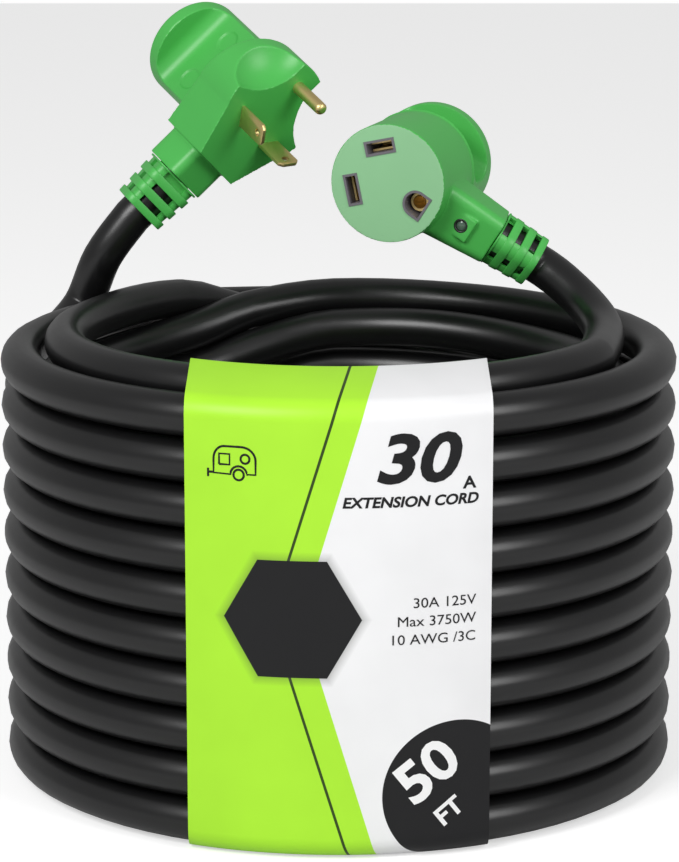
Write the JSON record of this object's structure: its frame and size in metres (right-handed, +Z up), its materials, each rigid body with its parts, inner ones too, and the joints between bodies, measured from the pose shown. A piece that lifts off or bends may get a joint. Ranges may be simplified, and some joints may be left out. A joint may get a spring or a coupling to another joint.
{
  "type": "shore power cord",
  "caption": "Coiled RV shore power extension cord with a green grip plug, a matching round connector with an indicator lamp, and a card sleeve round the front of the coil.",
  "frame": {"origin": "under the middle of the whole object, on the surface the coil stands on; the coil is centred 4.3 mm in front of it", "axes": "+Z up along the coil's axis, -Y towards the card sleeve at the front, +X to the right of someone facing the sleeve"},
  "size_m": [0.2708, 0.2845, 0.2961],
  "materials": {
    "green_vinyl": "satin",
    "black_jacket": "satin",
    "brass": "polished",
    "white_plastic": "satin",
    "black_insulation": "satin",
    "white_insulation": "satin",
    "green_insulation": "satin",
    "grey_insert": "matt",
    "clear_lens": "clear",
    "lamp_resin": "gloss",
    "printed_card": "satin print"
  },
  "bodies": {
    "root": {"plug_body": "green_vinyl", "plug_core": "white_plastic", "plug_hot_blade": "brass", "plug_neutral_blade": "brass", "plug_ground_pin": "brass", "plug_hot_wire": "black_insulation", "plug_neutral_wire": "white_insulation", "plug_ground_wire": "green_insulation", "plug_strain_relief": "green_vinyl", "plug_lead": "black_jacket", "connector_body": "green_vinyl", "connector_insert": "grey_insert", "connector_hot_contact": "brass", "connector_neutral_contact": "brass", "connector_ground_contact": "brass", "connector_hot_wire": "black_insulation", "connector_neutral_wire": "white_insulation", "connector_ground_wire": "green_insulation", "indicator_lens": "clear_lens", "indicator_led": "lamp_resin", "connector_strain_relief": "green_vinyl", "connector_lead": "black_jacket", "coil_turns": "black_jacket", "label_sleeve": "printed_card"}
  },
  "joints": []
}
